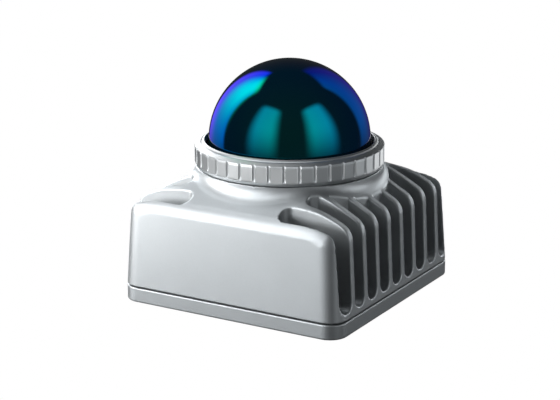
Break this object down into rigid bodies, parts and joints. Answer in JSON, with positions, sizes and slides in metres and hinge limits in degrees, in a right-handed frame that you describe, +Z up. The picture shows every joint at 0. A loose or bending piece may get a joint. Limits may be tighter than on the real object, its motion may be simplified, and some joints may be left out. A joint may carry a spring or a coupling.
{
  "type": "lidar scanner module",
  "caption": "Compact lidar scanner: square cast housing with finned sides, threaded clamp ring, coated dome window, coaxial spinning optics and a rear round inlet.",
  "frame": {"origin": "underside of the base plate, under the middle of the dome", "axes": "+Z up along the scan axis, -Y out of the smooth front face, +Y out of the rear inlet, +X and -X out of the finned sides"},
  "size_m": [0.065, 0.073, 0.0619],
  "materials": {
    "housing_silver": "bead-blasted and anodised, satin",
    "ring_silver": "turned, bead-blasted and anodised, satin",
    "window_coating": "polished, dark infrared-pass coating with a blue-green interference tint",
    "seal_rubber": "matt",
    "screw_steel": "bright stainless",
    "inlet_metal": "nickel-plated, machined",
    "black_plastic": "moulded, fine texture",
    "contact_gold": "gold-plated",
    "board_green": "solder mask over copper tracks",
    "pad_grey": "soft silicone, matt",
    "chip_black": "moulded epoxy",
    "ferrite_dark": "pressed ferrite",
    "frame_black": "machined, black anodised",
    "stator_copper": "enamelled copper winding on laminations",
    "magnet_nickel": "nickel-plated magnet",
    "bearing_steel": "ground and polished",
    "optic_glass": "polished optical glass",
    "mirror_coating": "protected metal coating",
    "weight_brass": "machined",
    "film_amber": "polyimide film"
  },
  "bodies": {
    "chassis": {"base_plate": "housing_silver", "upper_housing": "housing_silver", "clamp_ring": "ring_silver", "dome_window": "window_coating", "dome_seal": "seal_rubber", "clamp_gasket": "seal_rubber", "base_gasket": "seal_rubber", "vent_plug": "seal_rubber", "inlet_seal": "seal_rubber", "inlet_shell": "inlet_metal", "inlet_nut": "inlet_metal", "inlet_insert": "black_plastic", "inlet_contacts": "contact_gold", "main_board": "board_green", "receiver_board": "board_green", "laser_board": "board_green", "encoder_board": "board_green", "soc_chip": "chip_black", "receiver_chip": "chip_black", "motor_driver_chip": "chip_black", "network_magnetics": "chip_black", "power_inductor": "ferrite_dark", "board_connector": "black_plastic", "thermal_pad": "pad_grey", "flex_ribbon": "film_amber", "optics_frame": "frame_black", "lens_barrel": "frame_black", "receiver_lens": "optic_glass", "laser_diode": "contact_gold", "fold_mirror": "mirror_coating", "prism_stator": "stator_copper", "prism_bearing_outer": "bearing_steel", "prism_bearing_cage": "bearing_steel", "mirror_stator": "stator_copper", "mirror_bearing_outer": "bearing_steel", "mirror_bearing_cage": "bearing_steel", "base_screw_1": "screw_steel", "base_screw_2": "screw_steel", "base_screw_3": "screw_steel", "base_screw_4": "screw_steel", "board_screw_1": "screw_steel", "board_screw_2": "screw_steel", "board_screw_3": "screw_steel", "board_screw_4": "screw_steel", "frame_screw_1": "screw_steel", "frame_screw_2": "screw_steel", "frame_screw_3": "screw_steel", "frame_screw_4": "screw_steel"},
    "prism_rotor": {"prism_sleeve": "frame_black", "prism_magnet": "magnet_nickel", "prism_bearing_inner": "bearing_steel", "wedge_prism": "optic_glass"},
    "mirror_rotor": {"mirror_hub": "frame_black", "mirror_magnet": "magnet_nickel", "mirror_bearing_inner": "bearing_steel", "encoder_disc": "mirror_coating", "mirror_carrier": "frame_black", "scan_mirror": "mirror_coating", "balance_weight": "weight_brass"}
  },
  "joints": [
    {"name": "mirror_spin", "type": "hinge", "parent": "chassis", "child": "mirror_rotor", "pos_m": [0, 0, 0.036], "axis": [0, 0, 1], "continuous": true},
    {"name": "prism_spin", "type": "hinge", "parent": "chassis", "child": "prism_rotor", "pos_m": [0, 0, 0.0245], "axis": [0, 0, 1], "continuous": true}
  ]
}
